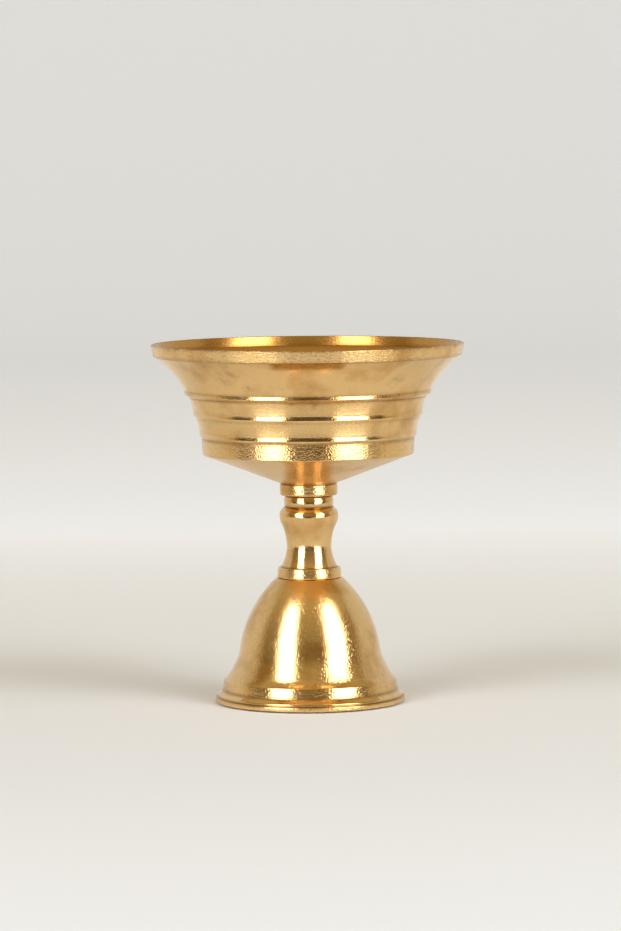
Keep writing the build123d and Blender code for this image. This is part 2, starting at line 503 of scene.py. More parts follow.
def turned_brass(
    name,
    around,
    line_height,
    stroke_height,
    grain_height,
    pit_depth,
    pit_shade,
    smooth,
    rough,
    patina,
    even_ridges=None,
):
    """Brass off the lathe: fine lines round the piece, short strokes along them, a grain, pits and patina.

    around is the count of grains in a radian of the turn, and heights and depths are in millimetres.
    Coarse places have the whole grain, strokes and dark pits, and are a little duller. Ridged places
    spread what they mirror across the lines. A deeper tone is painted in where brass mirrors brass in the
    bowl and under the rim. Creases are dark with patina and with painted shade in the hollow corners, and
    stains, wear, blotches, the painted shadow under the foot and the painted reflection under the rim are
    dark too; patina is the blotches' depth. The roughness goes from smooth to rough with the grain, and
    each mark adds to it. even_ridges is how ridged a piece is that has one depth all over.
    """
    material, tree, shader = new_material(name)
    place = object_place(tree)
    coarse = mark_of(tree, "coarse")
    ridged = mark_of(tree, "ridged")
    mellow = mark_of(tree, "mellow")
    lines = noise(tree, scaled_way(tree, line_turn, line_waves), detail=4)
    strokes = noise(tree, scaled_way(tree, stroke_share * around, stroke_waves), detail=0)
    grain = noise(tree, scaled_way(tree, around, grain_waves), detail=0)
    specks = noise(tree, scaled_way(tree, around, pit_waves), detail=1)
    pits = times(tree, span(tree, specks, 0.50, 0.66, 0.0, 1.0), coarse)

    cloud = span(tree, noise(tree, place, detail=5, scale=cloud_waves), 0.5, 0.8, 0.0, 1.0)
    patches = noise(tree, place, detail=6, scale=blotch_waves, roughness=0.65)
    blotch = span(tree, patches, 0.58, 0.70, 0.0, patina)
    mottle = span(tree, noise(tree, place, detail=5, scale=mottle_waves), 0.4, 0.6, 0.3, 1.0)
    # Hollow corners are darkened: patina there, and painted shade
    dark = total(tree, times(tree, mark_of(tree, "crease"), crease_shade), blotch)
    # Real stains and wear darken here, and so do the painted contact shadow under the foot and the painted
    # reflection under the rim
    dark = total(tree, dark, times(tree, mark_of(tree, "stained"), mottle))
    dark = total(tree, dark, times(tree, pits, pit_shade))
    # A deeper tone is painted in where brass mirrors brass inside the bowl, and under the rim's front
    colour = blend_colours(tree, total(tree, cloud, mellow, "MAXIMUM"), bright_brass, deep_brass_and_reflection)
    colour = blend_colours(tree, dark, colour, dark_patina_and_shade)
    tree.links.new(colour, shader.inputs["Base Color"])

    dull = total(
        tree,
        span(tree, grain, 0.3, 0.7, smooth, rough),
        span(tree, coarse, 0.7, 1.0, 0.0, coarse_dulling),
    )
    for mark, dulling in ((ridged, ridge_dulling), (mellow, mellow_dulling), (dark, dark_dulling)):
        dull = total(tree, dull, times(tree, mark, dulling))
    tree.links.new(dull, shader.inputs["Roughness"])

    texture = total(tree, times(tree, strokes, stroke_height), times(tree, grain, grain_height))
    ridges = times(tree, times(tree, lines, line_height), ridged)
    height = total(tree, ridges, times(tree, texture, coarse))
    add_bump(tree, shader, total(tree, height, times(tree, pits, -pit_depth)), MM)
    tangent = node(tree, "ShaderNodeTangent", direction_type="RADIAL", axis="Z")
    tree.links.new(tangent.outputs["Tangent"], shader.inputs["Tangent"])
    if even_ridges is None:
        tree.links.new(times(tree, ridged, ridge_spread), shader.inputs["Anisotropic"])
    else:
        shader.inputs["Anisotropic"].default_value = even_ridges * ridge_spread
    shader.inputs["Anisotropic Rotation"].default_value = 0.25
    shader.inputs["Metallic"].default_value = 1.0
    return material


cup_brass = turned_brass(
    "cup_brass",
    around=66,
    line_height=0.014,
    stroke_height=0.022,
    grain_height=0.036,
    pit_depth=0.010,
    pit_shade=0.30,
    smooth=0.08,
    rough=0.14,
    patina=0.12,
)
stem_brass = turned_brass(
    "stem_brass",
    around=17,
    line_height=0.010,
    stroke_height=0.022,
    grain_height=0.032,
    pit_depth=0.006,
    pit_shade=0.20,
    smooth=0.05,
    rough=0.10,
    patina=0.08,
)
foot_brass = turned_brass(
    "foot_brass",
    around=46,
    line_height=0.010,
    stroke_height=0.020,
    grain_height=0.030,
    pit_depth=0.008,
    pit_shade=0.22,
    smooth=0.04,
    rough=0.08,
    patina=0.08,
    even_ridges=foot_ridges,
)


def zinc_plate():
    """Zinc-plated steel: grey metal, a little cloudy, with patches that are duller."""
    dark_zinc, pale_zinc = (0.50, 0.50, 0.48), (0.70, 0.70, 0.67)
    material, tree, shader = new_material("zinc_plate")
    cloud = noise(tree, object_place(tree), detail=5, scale=900.0)
    tree.links.new(blend_colours(tree, cloud, dark_zinc, pale_zinc), shader.inputs["Base Color"])
    tree.links.new(span(tree, cloud, 0.3, 0.7, 0.25, 0.45), shader.inputs["Roughness"])
    shader.inputs["Metallic"].default_value = 1.0
    return material


def split_bamboo():
    """Bamboo: straw-coloured wood with fine fibres along the stick."""
    dark_straw, pale_straw = (0.50, 0.33, 0.16), (0.78, 0.62, 0.38)
    fibre_waves = (5000, 5000, 250)
    material, tree, shader = new_material("split_bamboo")
    fibre = noise(tree, stretched(tree, object_place(tree), fibre_waves), detail=4)
    tree.links.new(blend_colours(tree, fibre, dark_straw, pale_straw), shader.inputs["Base Color"])
    shader.inputs["Roughness"].default_value = 0.6
    return material


def raw_cotton():
    """Cotton: off-white fibres of uneven shade, with a fine nap and a soft sheen."""
    shaded_cotton, clean_cotton = (0.70, 0.66, 0.57), (0.93, 0.91, 0.86)
    nap_height = 0.1 * MM
    material, tree, shader = new_material("raw_cotton")
    fibre = noise(tree, object_place(tree), detail=6, scale=2600.0, roughness=0.6)
    tree.links.new(blend_colours(tree, fibre, shaded_cotton, clean_cotton), shader.inputs["Base Color"])
    add_bump(tree, shader, fibre, nap_height)
    shader.inputs["Roughness"].default_value = 0.95
    shader.inputs["Sheen Weight"].default_value = 0.4
    return material


zinc = zinc_plate()
bamboo = split_bamboo()
cotton = raw_cotton()


# Foot
flange_level = edge_height + ring_foot_rise
ring_level = flange_level + ring_height
bell_level = ring_level + bell_rise
skirt_level = bell_level - skirt_drop
ring_radius = ring_foot_radius - ring_taper
skirt_radius = bell_radius + skirt_spread
skirt_foot_radius = ring_radius - ledge_width
crown_radius = lower_collar_radius + crown_overhang
crown_bore = spigot_radius + spigot_gap
inner_crown_radius = washer_radius + washer_room


def edge_profile():
    """Flange down to a fine groove, then the rounded edge and the relief under it.

    The groove starts on the flange at its width from the edge and goes one and a half depths down, and
    the edge stands lower than the flange's line by the groove's depth.
    """
    flange_top = np.array([ring_foot_radius, flange_level])
    flange_end = np.array([foot_radius, edge_height])
    slope = (flange_end - flange_top) / (foot_radius - ring_foot_radius)
    groove = flange_end - slope * groove_width
    groove_floor = groove - (0, 1.5 * groove_depth)
    brow = (foot_radius, edge_height - groove_depth)
    edge = soften([groove_floor, brow, (foot_radius, undercut_height)], edge_round, steps=7)
    return np.concatenate([[flange_top, groove], edge, [(foot_radius - undercut_depth, table_level)]])


def foot_profile():
    """Bell from the crown's bore over the shoulder, skirt and ring to the edge, then back up inside."""
    shoulder = arc_of_radius((crown_radius, stem_seat), (bell_radius, bell_level), shoulder_radius)
    skirt = arc_from_tangent(shoulder[-1], (skirt_radius, skirt_level), shoulder[-1] - shoulder[-2], steps=14)
    skirt_fall = np.array([skirt_foot_radius, ring_level + ledge_rise]) - skirt[-1]
    cove = arc_from_tangent(skirt[-1] + cove_share * skirt_fall, (ring_radius, ring_level), skirt_fall)
    ring = soften([cove[-2], cove[-1], (ring_foot_radius, flange_level)], ring_round, steps=6)
    inside = arc_of_radius(
        (bell_radius - foot_wall, bell_level),
        (inner_crown_radius, crown_underside),
        -(shoulder_radius - foot_wall),
    )
    outline = [
        [(crown_bore, crown_underside), (crown_bore, stem_seat)],
        shoulder,
        skirt[1:],
        cove[:-1],
        ring[1:-1],
        edge_profile(),
        [
            (ring_radius - foot_wall, table_level),
            (skirt_foot_radius - foot_wall, ring_level),
        ],
        inside,
        [((inner_crown_radius + crown_bore) / 2, crown_underside)],
    ]
    return soften(np.concatenate(outline), corner)


# Finish of the foot: how coarse its places are, from 0 to 1, and how far below the corner its painted contact
# shadow starts
edge_grain = 1.0
flange_grain = 0.2
bell_grain = 0.75
contact_shade_margin = 0.02


def foot_grain(radius, level):
    """How coarse the foot is: least on the flange, most on the edge, and in between elsewhere."""
    on_edge = (level < edge_height) & (radius > foot_radius - edge_round)
    on_flange = (level < flange_level - corner) & (radius > ring_foot_radius) & ~on_edge
    return np.select([on_edge, on_flange], [edge_grain, flange_grain], bell_grain)


def foot_contact_shade(radius, level):
    """Painted shadow in the relief under the edge, where the foot meets the table, all the way round."""
    return ((level < undercut_height - contact_shade_margin) & (radius > ring_foot_radius)).astype(float)


foot_points = foot_profile()
foot_columns = turned_grid(foot_points)[1:]
foot = lathe(
    "foot_bell",
    foot_points,
    foot_brass,
    coarse=foot_grain(*foot_columns),
    ridged=foot_ridges,
    # On the foot this stain mark holds only painted shadow: the dark contact line under its edge
    stained=foot_contact_shade(*foot_columns),
)
fit(foot, "foot", "base")


# Stem
lower_collar_top = stem_seat + lower_collar_height
upper_collar_level = cup_seat - upper_collar_height
neck_level = upper_collar_level - neck_height
bead_level = neck_level - bead_upper_height
bead_foot_level = bead_level - bead_lower_height
waist_level = (lower_collar_top + bead_foot_level) / 2
stud_hole_radius = stud_radius + thread_gap
stud_hole_end = stud_foot - hole_end
screw_hole_radius = screw_radius + thread_gap
screw_hole_end = screw_top + hole_end


def stem_profile():
    """Baluster from the screw's hole round the spigot, up the outside and down into the stud's hole."""
    waist, bead = (waist_radius, waist_level), (bead_radius, bead_level)
    bead_foot, neck_foot = (bead_foot_radius, bead_foot_level), (neck_foot_radius, neck_level)
    neck_bulge = neck_ring_radius - (neck_foot_radius + neck_radius) / 2
    neck_arc_radius = (neck_height**2 / 4 + neck_bulge**2) / (2 * neck_bulge)
    lower_collar = soften(
        [
            (spigot_radius, stem_seat),
            (lower_collar_radius, stem_seat),
            (lower_collar_radius - lower_collar_taper, lower_collar_top),
            (flare_foot_radius, lower_collar_top),
        ],
        collar_round,
        steps=7,
    )
    upper_collar = soften(
        [
            (neck_radius, upper_collar_level),
            (upper_collar_radius, upper_collar_level),
            (upper_collar_radius, cup_seat),
            (stud_hole_radius, cup_seat),
        ],
        collar_round,
        steps=7,
    )
    outline = [
        [
            (0, screw_hole_end + drill_point),
            (screw_hole_radius, screw_hole_end),
            (screw_hole_radius, spigot_end),
            (spigot_radius - edge_break, spigot_end),
            (spigot_radius, spigot_end + edge_break),
        ],
        lower_collar[:-1],
        arc_from_tangent(waist, (flare_foot_radius, lower_collar_top), (0, -1))[::-1],
        arc_from_tangent(waist, bead_foot, (0, 1))[1:],
        arc_from_tangent(bead, bead_foot, (0, -1))[-2::-1],
        arc_from_tangent(bead, neck_foot, (0, 1))[1:-1],
        arc_of_radius(neck_foot, (neck_radius, upper_collar_level), -neck_arc_radius, steps=12)[:-1],
        upper_collar,
        [
            (stud_hole_radius, stud_hole_end),
            (0, stud_hole_end - drill_point),
        ],
    ]
    return soften(np.concatenate(outline), fine_corner)


# Finish of the stem: how coarse its places are, from 0 to 1, and the share of that which its ridges have
collar_grain = 0.9
shaft_grain = 0.3
stem_ridge_share = 0.5


def stem_grain(level):
    """How coarse the stem is: most on its two collars."""
    on_collar = (level < lower_collar_top) | (level > upper_collar_level)
    return np.where(on_collar, collar_grain, shaft_grain)


stem_points = stem_profile()
stem_coarse = stem_grain(stem_points[:, 1:])
stem_ridged = stem_ridge_share * stem_coarse
stem = lathe("stem_baluster", stem_points, stem_brass, stem_segments, coarse=stem_coarse, ridged=stem_ridged)
fit(stem, "stem", "base")


# Cup
band_foot = cup_seat + underside_height
band_top = band_foot + band_height
lower_lip_level = band_top + tier_step_rise
lower_tier_top = band_top + lower_tier_height
upper_lip_level = lower_tier_top + tier_step_rise
upper_tier_top = lower_tier_top + upper_tier_height
flare_lip_level = upper_tier_top + tier_step_rise
flare_level = flare_lip_level + flare_lip_height
rim_foot = rim_top - rim_height
lower_lip_radius = band_radius + tier_step
lower_tier_radius = lower_lip_radius + tier_taper
upper_lip_radius = lower_tier_radius + tier_step
upper_tier_radius = upper_lip_radius + tier_taper
flare_lip_radius = upper_tier_radius + flare_step
rim_foot_radius = rim_radius - rim_taper
mouth_radius = rim_radius - edge_break - rim_width
throat_radius = mouth_radius - edge_break - mouth_taper
floor_level = band_foot + floor_rise
inner_wall_radius = band_radius - cup_wall
stud_bore_end = stud_top + hole_end
socket_radius = stick_radius + wick_gap


def rim_round_top(steps=15):
    """Half an oval over the rim: the radius goes by the cosine and the level by the sine of one angle."""
    inner = mouth_radius - edge_break
    angle = np.linspace(0, math.pi, steps)
    radius = (rim_radius + inner) / 2 + (rim_radius - inner) / 2 * np.cos(angle)
    return np.stack([radius, rim_top - rim_round + rim_round * np.sin(angle)], -1)


def tier(foot, top, steps=12):
    """Shallow arc up a tier: it leaves the lip half as steep from upright as the straight line to its top."""
    rise = np.array(top) - foot
    return arc_from_tangent(foot, top, (rise[0] / 2, rise[1]), steps)


def floor_fillet(wall_top):
    """Arc of floor_corner between the flat floor and the straight inner wall that comes down from wall_top.

    It starts and ends at one length from the corner: the radius over the tangent of half the angle there.
    """
    foot = np.array([inner_wall_radius, floor_level])
    up = (wall_top - foot) / np.hypot(*(wall_top - foot))
    half_angle = math.acos(-up[0]) / 2
    length = floor_corner / math.tan(half_angle)
    return arc_from_tangent(foot + length * up, foot - (length, 0), -up)


def cup_profile():
    """Cup from the stud's bore up the stepped outside, over the rim and down inside to the wick's socket."""
    lower_tier_foot = (lower_lip_radius, lower_lip_level + lip_height)
    upper_tier_foot = (upper_lip_radius, upper_lip_level + lip_height)
    inside = arc_of_radius(
        (throat_radius, rim_top - mouth_height),
        (flare_lip_radius - cup_wall, flare_level),
        -(flare_radius + cup_wall),
    )
    outline = [
        [
            (0, stud_bore_end),
            (stud_hole_radius, stud_bore_end),
            (stud_hole_radius, cup_seat),
            (upper_collar_radius - edge_break, cup_seat),
            (upper_collar_radius, cup_seat + edge_break),
            (band_radius - band_taper - edge_break, band_foot),
            (band_radius - band_taper, band_foot + edge_break),
            (band_radius, band_top),
            (lower_lip_radius, lower_lip_level),
        ],
        tier(lower_tier_foot, (lower_tier_radius, lower_tier_top)),
        [(upper_lip_radius, upper_lip_level)],
        tier(upper_tier_foot, (upper_tier_radius, upper_tier_top)),
        [(flare_lip_radius, flare_lip_level)],
        arc_of_radius((flare_lip_radius, flare_level), (rim_foot_radius - rim_step, rim_foot), flare_radius),
        [(rim_foot_radius, rim_foot)],
        rim_round_top(),
        inside,
        floor_fillet(inside[-1]),
        [
            (socket_radius, floor_level),
            (socket_radius, stick_foot),
            (0, stick_foot),
        ],
    ]
    return soften(np.concatenate(outline), lip_corner)


# Finish of the cup's places, from 0 to 1: how coarse the grain is, and how deep the tool's lines are
band_finish = (0.76, 0.3)
rim_finish = (0.7, 0.7)
flare_lip_finish = (0.5, 0.4)
lip_finish = (0.25, 0.1)
tier_finish = (0.22, 1.0)
flare_finish = (0.22, 0.7)

# Painted dark reflection, a brown streak under the rim's front: the way to its ends, its height, and the way
# over which it fades
streak_reach = 7.2
streak_height = 1.6
streak_fade = 0.7

# Stains on the flare and the upper tier: turn from the front in degrees, level, width and height
stains = [
    (-32.0, 65.7, 2.2, 0.9),
    (-36.5, 63.9, 1.2, 0.8),
    (-27.0, 62.9, 0.9, 0.6),
    (-8.0, 59.8, 0.7, 0.25),
    (2.5, 59.7, 1.7, 0.3),
    (2.5, 59.2, 0.7, 0.5),
    (16.5, 59.7, 0.9, 0.3),
    (41.0, 64.3, 1.6, 0.8),
    (148.0, 62.8, 2.4, 1.0),
    (205.0, 57.3, 1.8, 0.8),
]

# How dark the stains and the painted reflection under the rim are, how dark the rim's worn top is and how far
# the wear comes down, and the deeper tone painted inside the bowl for brass mirrored in brass
stain_shade = 0.4
rim_wear = 0.8
rim_wear_reach = 0.2
bowl_reflection_tone = 0.9


def inside_cup(level):
    """True where a point lies past the rim's top on the profile."""
    return np.arange(len(level))[:, None] > np.argmax(level)


def cup_grain(radius, level):
    """How coarse and how ridged the cup is, as two columns.

    The bottom band and the rim's band are coarsest. The tool's lines are deepest on the tiers, and
    faintest on the upright lips.
    """
    on_band = (level > band_foot) & (level < band_top) & (radius > band_radius - 3 * band_taper)
    on_rim = (level > rim_foot) & (radius > mouth_radius - edge_break)
    lips = [
        (lower_lip_radius, lower_lip_level, lip_height),
        (upper_lip_radius, upper_lip_level, lip_height),
        (flare_lip_radius, flare_lip_level, flare_lip_height),
    ]
    on_lip = np.zeros_like(level, bool)
    for lip_radius, lip_level, height in lips:
        beside = np.abs(radius - lip_radius) < corner
        on_lip |= beside & (level > lip_level - corner) & (level < lip_level + height + corner)
    on_flare_lip = on_lip & (level > upper_tier_top)
    on_tier = radius < flare_lip_radius
    places = [on_band, on_rim, on_flare_lip, on_lip, on_tier]
    finishes = zip(band_finish, rim_finish, flare_lip_finish, lip_finish, tier_finish, flare_finish)
    return [np.select(places, placed, elsewhere) for *placed, elsewhere in finishes]


def rim_reflection_streak(angle, radius, level):
    """Painted dark reflection, a brown streak under the rim's front on the camera's side: its ends and its
    lower edge fade over a short way.
    """
    aside = np.abs(half_turn(angle - FRONT)) * radius
    across = np.clip((streak_reach - aside) / streak_fade, 0, 1)
    under = np.clip((level - rim_foot + streak_height) / streak_fade, 0, 1) * (level < rim_foot)
    return across * under * ~inside_cup(level)


def cup_mellow(angle, radius, level):
    """How deep the cup's tone is painted: deep inside the bowl, in place of brass mirrored in brass, and in
    the painted reflection under the rim.
    """
    return np.maximum(bowl_reflection_tone * inside_cup(level), rim_reflection_streak(angle, radius, level))


def stain_and_shade_depth(angle, radius, level):
    """How darkened the cup is: soft oval stains on its outside, the painted reflection under the rim's front,
    and the rim's worn top all round.

    A spot falls off as a bell curve across its width and its height, and so does the rim's wear downwards.
    """
    spots = 0
    for turn, height, wide, tall in stains:
        aside = half_turn(angle - FRONT - math.radians(turn)) * radius
        spots = spots + np.exp(-((aside / wide) ** 2) - ((level - height) / tall) ** 2)
    spots = np.clip(stain_shade * spots * ~inside_cup(level), 0, stain_shade)
    on_rim = radius > mouth_radius - edge_break
    worn_rim = rim_wear * np.exp(-(((level - rim_top) / rim_wear_reach) ** 2)) * on_rim
    return spots + worn_rim + stain_shade * rim_reflection_streak(angle, radius, level)


cup_points = cup_profile()
cup_grid = turned_grid(cup_points)
cup_coarse, cup_ridged = cup_grain(*cup_grid[1:])
cup = lathe(
    "cup_bowl",
    cup_points,
    cup_brass,
    coarse=cup_coarse,
    ridged=cup_ridged,
    mellow=cup_mellow(*cup_grid),
    stained=stain_and_shade_depth(*cup_grid),
)
fit(cup, "cup", "cup")


# Fasteners
def threaded_rod(name, radius, pitch, low, high, rows_per_pitch=12):
    """Rod with a cut thread, coned at its ends.

    At turn a and level z its radius is less than the rod's by thread_depth times a triangle wave of
    z / pitch - a / turn, so the crest climbs one pitch a turn; within the ends a cone limits it.
    """
    angle = once_round(thread_segments)
    level = np.linspace(low, high, int(rows_per_pitch * (high - low) / pitch))[:, None]
    wave = np.abs(2 * ((level / pitch - angle / TURN) % 1) - 1)
    cone = radius - pitch / 2 + np.minimum(level - low, high - level)
    reach = np.minimum(radius - thread_depth * wave, cone)
    both_ends = ((1, 1), (0, 0))
    return skin(name, round_axis(np.pad(reach, both_ends), angle, np.pad(level, both_ends, "edge")), zinc)


def screw_head():
    """Domed head over slices across y.

    Each slice goes along x under the dome or the slot, and back over the flat seat. The dome is a cap of
    a sphere, half as high as the head, and the slot cuts a flat-bottomed groove along x. The ends of the
    slices lie on the head's circle.
    """
    side_slices, slice_points = 24, 33
    wall_lean = 1e-3
    outermost = 0.999 * screw_head_radius
    sharp_turn = math.radians(35)
    half_height = (screw_seat - screw_foot) / 2
    dome = (screw_head_radius**2 + half_height**2) / (2 * half_height)
    wall = 0.5 * slot_width
    side = wall + wall_lean + (outermost - wall) * np.sin(np.linspace(0, math.pi / 2, side_slices))
    across = np.concatenate([-side[::-1], [-wall, wall], side])[:, None]
    across = np.clip(across, -outermost, outermost)
    run = np.linspace(-1, 1, slice_points)[None, :]
    along = run * np.sqrt(screw_head_radius**2 - across**2)
    under = screw_foot + dome - np.sqrt(dome**2 - along**2 - across**2)
    under = np.where(np.abs(across) <= wall, np.maximum(under, screw_foot + slot_depth), under)
    below = np.stack(np.broadcast_arrays(along, across, under), -1)
    above = np.stack(np.broadcast_arrays(along, across, screw_seat), -1)
    rings = np.concatenate([below, above[:, ::-1]], axis=1)
    ends = [np.broadcast_to(rings[i].mean(0), rings[i].shape)[None] for i in (0, -1)]
    head = skin("screw_head", np.concatenate([ends[0], rings, ends[1]]), zinc)
    head.data.set_sharp_from_angle(angle=sharp_turn)
    return head


def washer_profile():
    """Flat ring with rounded corners, closed on itself."""
    bore, edge = screw_radius + bolt_gap, washer_radius
    flat = [(bore, screw_seat), (edge, screw_seat), (edge, crown_underside), (bore, crown_underside)]
    middle = (bore, (screw_seat + crown_underside) / 2)
    return soften([middle, *flat, middle], corner)[:-1]


cup_stud = threaded_rod("cup_stud_thread", stud_radius, thread_pitch, stud_foot, stud_top)
fit(cup_stud, "cup_stud", "stud")
fit(screw_head(), "foot_screw", "base")
screw_thread = threaded_rod("screw_thread", screw_radius, screw_pitch, screw_seat, screw_top)
fit(screw_thread, "foot_screw", "base")
washer = lathe("washer", washer_profile(), zinc, washer_segments)
fit(washer, "foot_washer", "base")


# Wick: strands wound on the stick, finer ripples across them, and loose fibres
cotton_height = cotton_top - cotton_foot
cotton_rows = 150
belly_gap = 0.05
belly_radius = cotton_radius - belly_gap
strands = 3
strand_lay = 5.5
furrow_depth = 0.09
ripples = 7
ripple_lay = 3.1
ripple_depth = 0.03
fibre_count = 160
fibre_radius = 0.018
fibre_taper = np.array([0, 1, 1, 1, 0.8, 0])
fibre_sides = 3
fibre_margin = 0.6
root_depth = 0.2
least_root = 0.05
fibre_seed = 7
fibre_swing = (-1.4, 1.4)
fibre_lift = (-0.3, 1.1)
fibre_spread = (0.15, 0.5)


def cotton_reach(rise):
    """Radius of the wound cotton at a rise above its foot.

    It swells to the belly by a parabola, eases to the neck by a smooth step and rounds to the tip by an oval.
    """
    swell = belly_radius - (belly_radius - cotton_foot_radius) * (1 - rise / cotton_belly_rise) ** 2
    ease = np.clip((rise - cotton_belly_rise) / (cotton_neck_rise - cotton_belly_rise), 0, 1)
    taper = belly_radius + (cotton_neck_radius - belly_radius) * ease**2 * (3 - 2 * ease)
    close = np.clip((rise - cotton_neck_rise) / (cotton_height - cotton_neck_rise), 0, 1)
    return np.where(rise < cotton_belly_rise, swell, taper) * np.sqrt(1 - close**2)


def wound_cotton():
    """Spindle of cotton_reach that dips in helical furrows between the strands, and in ripples across them.

    At turn a and rise z each dip is its depth times a raised cosine of its count times a, less or plus
    the turns of its lay in z.
    """
    angle = once_round(cotton_segments)
    share = 0.5 - 0.5 * np.cos(np.linspace(0, math.pi, cotton_rows))[:, None]
    rise = share * cotton_height
    furrow = 0.5 + 0.5 * np.cos(strands * angle - TURN * rise / strand_lay)
    ripple = 0.5 + 0.5 * np.cos(ripples * angle + TURN * rise / ripple_lay)
    reach = cotton_reach(rise) * (1 - furrow_depth * furrow - ripple_depth * ripple)
    foot_end = ((1, 0), (0, 0))
    level = cotton_foot + np.pad(rise, foot_end, "edge")
    return skin("cotton_wick", round_axis(np.pad(reach, foot_end), angle, level), cotton)


def loose_fibres():
    """Thin three-sided hairs that leave the cotton along its turn and end free.

    At a share w of its length a hair has gone round by swing w, up by lift w, and out by spread w squared.
    """
    draw = np.random.default_rng(fibre_seed)
    start_turn = TURN * draw.random(fibre_count)[:, None]
    start_rise = fibre_margin + (cotton_height - 2 * fibre_margin) * draw.random(fibre_count)[:, None]
    swing = draw.uniform(*fibre_swing, (fibre_count, 1))
    lift = draw.uniform(*fibre_lift, (fibre_count, 1))
    spread = draw.uniform(*fibre_spread, (fibre_count, 1))
    rows = len(fibre_taper)
    way = np.linspace(0, 1, rows)[None, :]
    root = np.maximum(cotton_reach(start_rise) - root_depth, least_root)
    turn, rise = start_turn + swing * way, start_rise + lift * way
    reach = root + spread * way**2
    side = once_round(fibre_sides)
    thin = fibre_radius * fibre_taper[None, :, None]
    out = reach[:, :, None] + thin * np.cos(side)
    level = cotton_foot + rise[:, :, None] + thin * np.sin(side) * np.sign(swing)[:, :, None]
    points = round_axis(out, turn[:, :, None], level)
    hair = ring_faces(rows, fibre_sides, loop=False)
    faces = hair[None] + rows * fibre_sides * np.arange(fibre_count)[:, None, None]
    return new_piece("loose_fibres", points.reshape(-1, 3) * MM, faces.reshape(-1, 4), cotton, {})


def stick_profile():
    """Round stick with broken corners, from its foot in the socket to its top inside the cotton."""
    return soften(
        [
            (0, stick_foot),
            (stick_radius - edge_break, stick_foot),
            (stick_radius, stick_foot + edge_break),
            (stick_radius, stick_top - edge_break),
            (stick_radius - edge_break, stick_top),
            (0, stick_top),
        ],
        fine_corner,
    )


stick = lathe("bamboo_stick", stick_profile(), bamboo, stick_segments)
fit(stick, "wick_stick", "wick")
fit(wound_cotton(), "wick_cotton", "wick")
fit(loose_fibres(), "wick_cotton", "wick")


# Floor and backdrop: a pale table, cut straight in front, that sweeps up behind and at the sides
floor_reach = 1.3
front_edge = 0.245
side_edge = 0.36
sweep_radius = 0.5
wall_height = 1.6
pale_floor = (0.665, 0.69, 0.745)
warm_side = (0.72, 0.62, 0.44)
backdrop_glow = (0.35, 0.36, 0.385)
side_glow = (0.17, 0.125, 0.06)
world_light = (0.73, 0.72, 0.69)

# Where the table widens and where the wall opens: the angle from the front and the way over it, in degrees
widen_start, widen_turn = 77, 14
wall_start, wall_turn = 78, 30


def seen_or_mirrored(tree):
    """1 for rays from the camera, off metal or through glass, and 0 for rays that light other things."""
    path = node(tree, "ShaderNodeLightPath")
    direct = total(tree, path.outputs["Is Camera Ray"], path.outputs["Is Glossy Ray"], "MAXIMUM")
    return total(tree, direct, path.outputs["Is Transmission Ray"], "MAXIMUM")


def sweep_material():
    """Matt pale paint, warmer at the far sides, that glows a little behind the lamp and far from it.

    Only rays that see or mirror it meet the glow.
    """
    near_reach, far_reach = 0.3, 0.8
    front, back = -0.1, 0.35
    material, tree, shader = new_material("pale_floor")
    length = node(tree, "ShaderNodeVectorMath", operation="LENGTH")
    tree.links.new(object_place(tree), length.inputs[0])
    away = span(tree, length.outputs["Value"], near_reach, far_reach, 0.0, 1.0)
    near = span(tree, length.outputs["Value"], near_reach, far_reach, 1.0, 0.0)
    behind = span(tree, place_along(tree, "Y"), front, back, 0.0, 1.0)
    colour = blend_colours(tree, total(tree, behind, near, "MAXIMUM"), warm_side, pale_floor)
    glow = blend_colours(tree, behind, side_glow, backdrop_glow)
    strength = times(tree, total(tree, away, behind, "MAXIMUM"), seen_or_mirrored(tree))
    tree.links.new(colour, shader.inputs["Base Color"])
    tree.links.new(glow, shader.inputs["Emission Color"])
    tree.links.new(strength, shader.inputs["Emission Strength"])
    shader.inputs["Roughness"].default_value = 0.9
    shader.inputs["Specular IOR Level"].default_value = 0.1
    return material


def studio_sweep():
    """Surface over (angle a, way w): flat, then a quarter circle up, then a wall that sinks at the sides.

    In front the table ends at straight edges, where the way out is cut to front_edge / cos a and to
    side_edge / sin a; behind, it widens to floor_reach.
    """
    turns, flat_steps, curve_steps = 181, 12, 24
    least = 1e-3
    turn = np.radians(np.linspace(-180, 180, turns))
    from_front = np.degrees(np.abs(turn))
    ahead, aside = np.maximum(np.cos(turn), least), np.maximum(np.abs(np.sin(turn)), least)
    cut = np.minimum(front_edge / ahead, side_edge / aside)
    widen = np.clip((from_front - widen_start) / widen_turn, 0, 1)
    table = np.where(widen > 0, side_edge + (floor_reach - side_edge) * widen, cut)[:, None]
    opening = np.clip((from_front - wall_start) / wall_turn, 0, 1)
    share = (opening**2 * (3 - 2 * opening))[:, None]
    quarter = np.linspace(0, math.pi / 2, curve_steps)[1:]
    flat = table * np.linspace(0.0, 1.0, flat_steps)
    rise = table + share * sweep_radius * np.sin(quarter)
    reach = np.concatenate([flat, rise, rise[:, -1:]], axis=1)
    climb = np.concatenate([np.zeros(flat_steps), sweep_radius * (1 - np.cos(quarter)), [wall_height]])
    vertices = np.stack([np.sin(turn)[:, None] * reach, -np.cos(turn)[:, None] * reach, share * climb], -1)
    index = np.arange(reach.size).reshape(reach.shape)
    faces = np.stack([index[:-1, :-1], index[:-1, 1:], index[1:, 1:], index[1:, :-1]], -1).reshape(-1, 4)
    sweep = add_mesh("studio_sweep", vertices.reshape(-1, 3), faces.tolist(), sweep_material())


studio_sweep()

